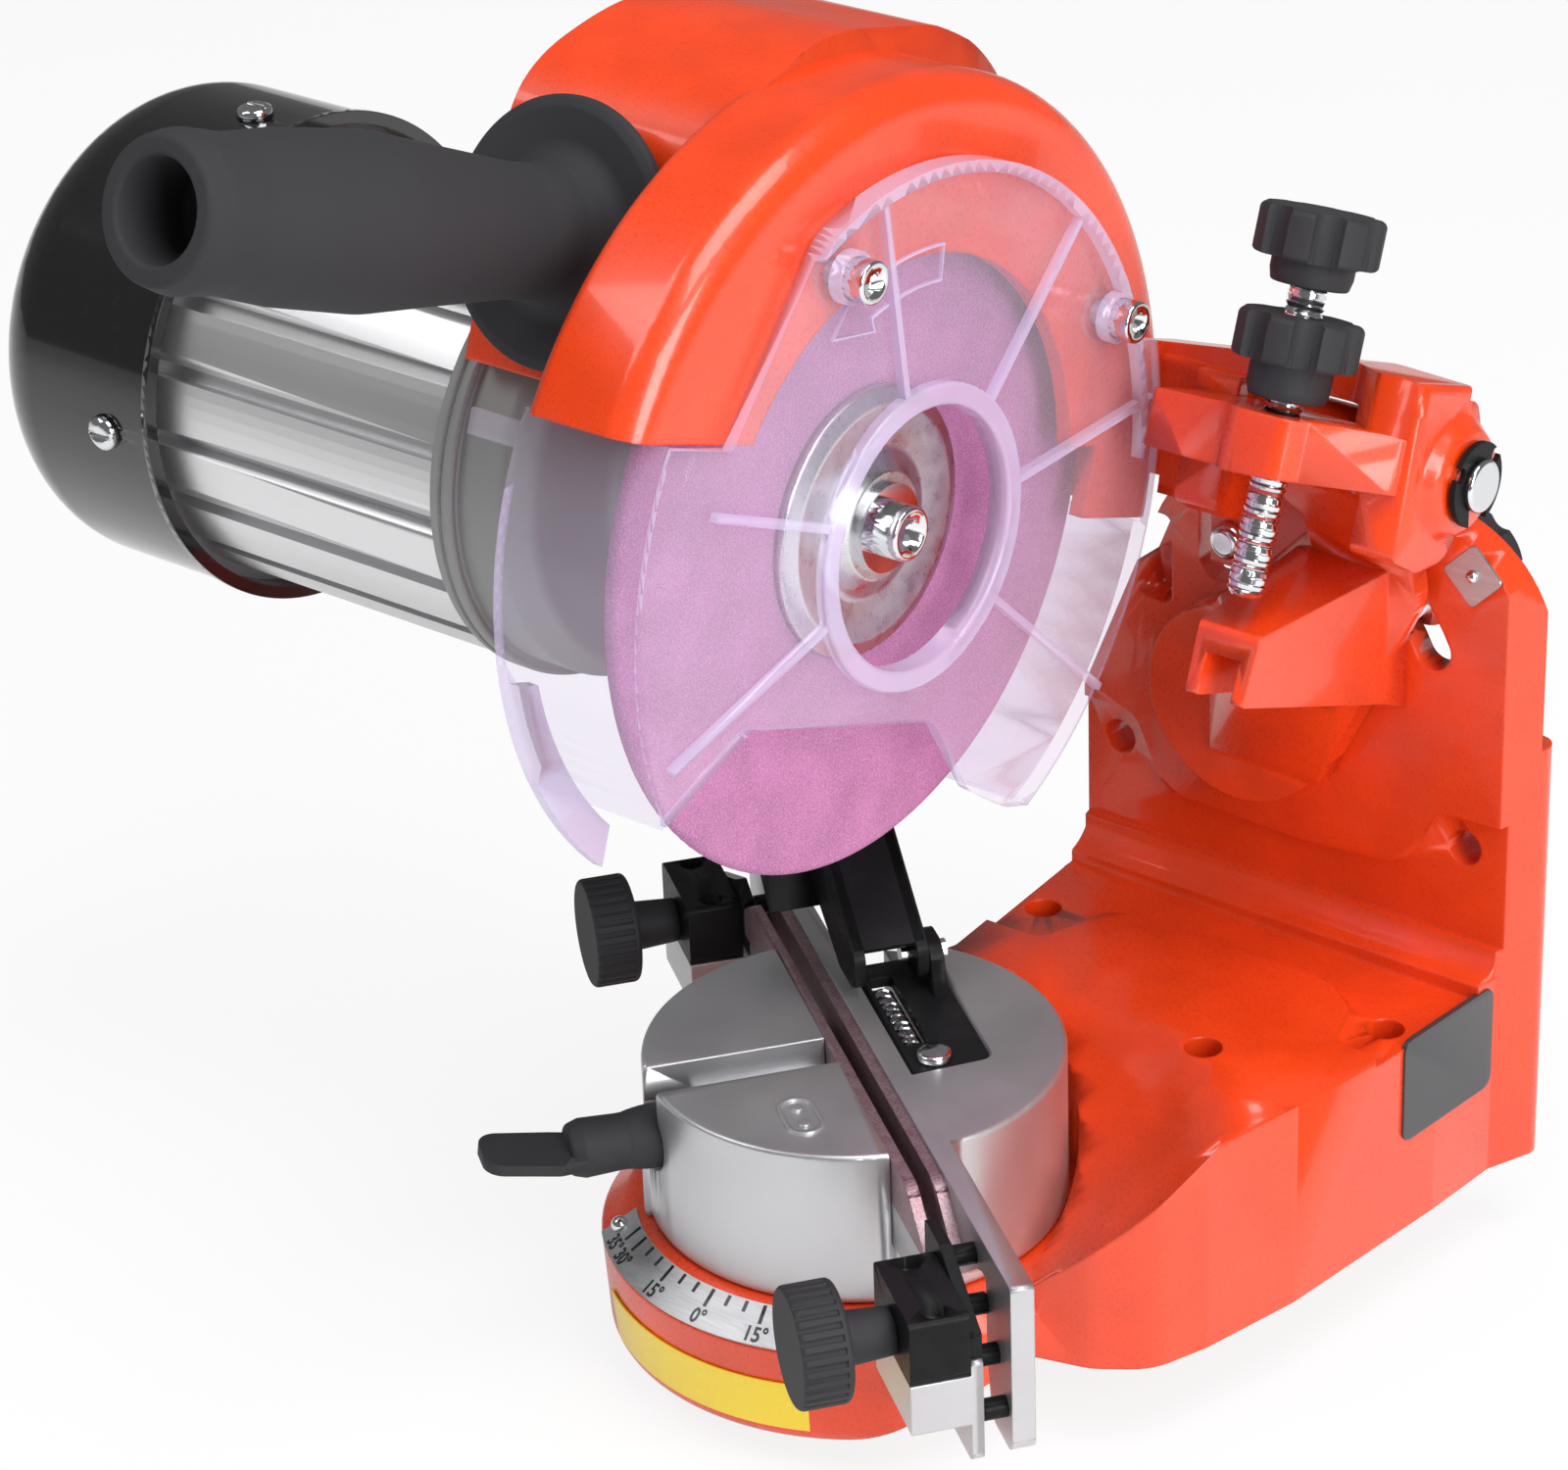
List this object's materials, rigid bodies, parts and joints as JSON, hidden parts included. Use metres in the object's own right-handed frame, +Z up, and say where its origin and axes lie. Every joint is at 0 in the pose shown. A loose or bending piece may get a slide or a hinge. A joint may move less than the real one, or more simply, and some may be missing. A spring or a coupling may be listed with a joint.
{
  "type": "electric chainsaw sharpener",
  "caption": "Bench chain grinder with a cast frame, a turntable vise, a tilting hinged head with motor and grinding wheel, a clear guard and a depth stop.",
  "frame": {"origin": "midpoint of the two rear bench bolt holes, on the bench plane", "axes": "+Z up from the bench, +Y towards the wall that the frame can also hang on, +X to the operator's right"},
  "size_m": [0.2877, 0.2719, 0.294],
  "materials": {
    "orange_paint": "glossy orange powder coat",
    "silver_casting": "satin painted casting",
    "scale_plate": "brushed plate with black marks",
    "plain_badge": "satin dark grey plate",
    "bright_zinc": "zinc plated steel",
    "rail_steel": "ground steel rail",
    "black_steel": "black oxide steel",
    "black_plastic": "satin moulded plastic",
    "black_grip": "satin grip",
    "black_gloss": "gloss black cover",
    "fin_aluminium": "extruded aluminium",
    "grey_casting": "rough grey casting",
    "clear_guard": "clear polycarbonate",
    "pink_stone": "grainy vitrified abrasive",
    "flange_aluminium": "turned aluminium",
    "bearing_steel": "ground steel",
    "core_steel": "stacked laminations",
    "copper_wire": "varnished copper"
  },
  "bodies": {
    "base": {"base_casting": "orange_paint", "angle_scale": "scale_plate", "scale_rivets": "bright_zinc", "tilt_scale": "scale_plate", "side_plate": "plain_badge", "wall_button": "bright_zinc", "tilt_pivot": "bright_zinc", "pivot_stud": "bright_zinc"},
    "table_lock": {"table_knob": "black_plastic"},
    "turntable": {"turntable": "silver_casting", "rail_right": "rail_steel", "rollers": "black_steel", "stop_bracket": "black_steel", "stop_screw": "bright_zinc", "stop_spring": "bright_zinc", "stop_pin": "bright_zinc"},
    "jaw": {"moving_jaw": "silver_casting", "rail_left": "rail_steel", "jaw_plates": "black_steel", "end_blocks": "black_steel", "end_screws": "bright_zinc"},
    "lever": {"clamp_lever": "black_plastic", "clamp_bolt": "bright_zinc"},
    "front_knob": {"knob_front": "black_plastic"},
    "rear_knob": {"knob_rear": "black_plastic"},
    "chain_stop": {"stop_arm": "black_steel"},
    "support": {"tilt_support": "orange_paint", "tilt_stud": "bright_zinc", "hinge_pin": "bright_zinc", "e_clip": "black_steel"},
    "tilt_lock": {"tilt_knob": "black_plastic"},
    "head": {"head_casting": "orange_paint", "guard": "clear_guard", "guard_bolts": "bright_zinc", "handle": "black_grip", "handle_stud": "bright_zinc", "motor_bracket": "grey_casting", "motor_housing": "fin_aluminium", "motor_cap": "black_gloss", "motor_shield": "grey_casting", "cap_screws": "bright_zinc", "stator": "core_steel", "windings": "copper_wire", "bearings": "bearing_steel", "capacitor": "black_plastic", "switch_body": "black_plastic", "cord_gland": "black_grip"},
    "switch": {"rocker": "black_plastic"},
    "spindle": {"shaft": "bearing_steel", "rotor": "core_steel", "fan": "black_plastic", "back_flange": "flange_aluminium", "grinding_wheel": "pink_stone", "front_flange": "flange_aluminium", "wheel_bolt": "bright_zinc"},
    "depth_rod": {"depth_screw": "bright_zinc"},
    "depth_grip": {"depth_knob": "black_plastic"},
    "depth_lock": {"lock_knob": "black_plastic"}
  },
  "joints": [
    {"name": "table_turn", "type": "hinge", "parent": "base", "child": "turntable", "pos_m": [-0.035, -0.0775, 0.03], "axis": [0, 0, 1], "range_deg": [0, 36]},
    {"name": "table_lock_turn", "type": "hinge", "parent": "base", "child": "table_lock", "pos_m": [-0.035, -0.0775, -0.01], "axis": [0, 0, 1], "range_deg": [-180, 180]},
    {"name": "jaw_close", "type": "slide", "parent": "turntable", "child": "jaw", "axis": [0.5807, 0.8141, 0], "range_m": [0, 0.0006]},
    {"name": "lever_turn", "type": "hinge", "parent": "turntable", "child": "lever", "pos_m": [-0.06322, -0.11879, 0.038], "axis": [0.5807, 0.8141, 0], "range_deg": [0, 108]},
    {"name": "front_knob_turn", "type": "hinge", "parent": "jaw", "child": "front_knob", "pos_m": [0.01364, -0.15396, 0.0385], "axis": [0.5807, 0.8141, 0], "continuous": true},
    {"name": "rear_knob_turn", "type": "hinge", "parent": "jaw", "child": "rear_knob", "pos_m": [-0.12313, -0.0564, 0.0385], "axis": [0.5807, 0.8141, 0], "continuous": true},
    {"name": "chain_stop_fold", "type": "hinge", "parent": "turntable", "child": "chain_stop", "pos_m": [-0.03955, -0.046, 0.057], "axis": [0.5807, 0.8141, 0], "range_deg": [0, 20], "stiffness_Nm_per_rad": 0.02, "springref_deg": -28.65},
    {"name": "support_tilt", "type": "hinge", "parent": "base", "child": "support", "pos_m": [-0.0068, 0.0225, 0.0974], "axis": [0, 1, 0], "range_deg": [-12, 12]},
    {"name": "tilt_lock_turn", "type": "hinge", "parent": "support", "child": "tilt_lock", "pos_m": [0.02997, 0.0465, 0.12825], "axis": [0, 1, 0], "range_deg": [-180, 180]},
    {"name": "head_swing", "type": "hinge", "parent": "support", "child": "head", "pos_m": [0.015, 0.0175, 0.1634], "axis": [1, 0, 0], "range_deg": [0, 8], "stiffness_Nm_per_rad": 6, "springref_deg": -45.84},
    {"name": "switch_rock", "type": "hinge", "parent": "head", "child": "switch", "pos_m": [-0.095, -0.04856, 0.23246], "axis": [0, 0.9397, -0.342], "range_deg": [-10, 0]},
    {"name": "spindle_spin", "type": "hinge", "parent": "head", "child": "spindle", "pos_m": [-0.035, -0.07216, 0.16762], "axis": [1, 0, 0], "continuous": true},
    {"name": "depth_rod_feed", "type": "slide", "parent": "head", "child": "depth_rod", "axis": [0, 0.342, 0.9397], "range_m": [-0.0035, 0.0105]},
    {"name": "depth_knob_turn", "type": "hinge", "parent": "depth_rod", "child": "depth_grip", "pos_m": [0.019, 0.0075, 0.20961], "axis": [0, 0.342, 0.9397], "range_deg": [-1008, 3024]},
    {"name": "depth_lock_turn", "type": "hinge", "parent": "head", "child": "depth_lock", "pos_m": [0.019, -0.00002, 0.18893], "axis": [0, 0.342, 0.9397], "range_deg": [-180, 180]}
  ],
  "couplings": [
    {"joint": "depth_knob_turn", "follows": "depth_rod_feed", "rad_per_m": 5026.5},
    {"joint": "lever_turn", "follows": "jaw_close", "rad_per_m": 3141.6}
  ]
}
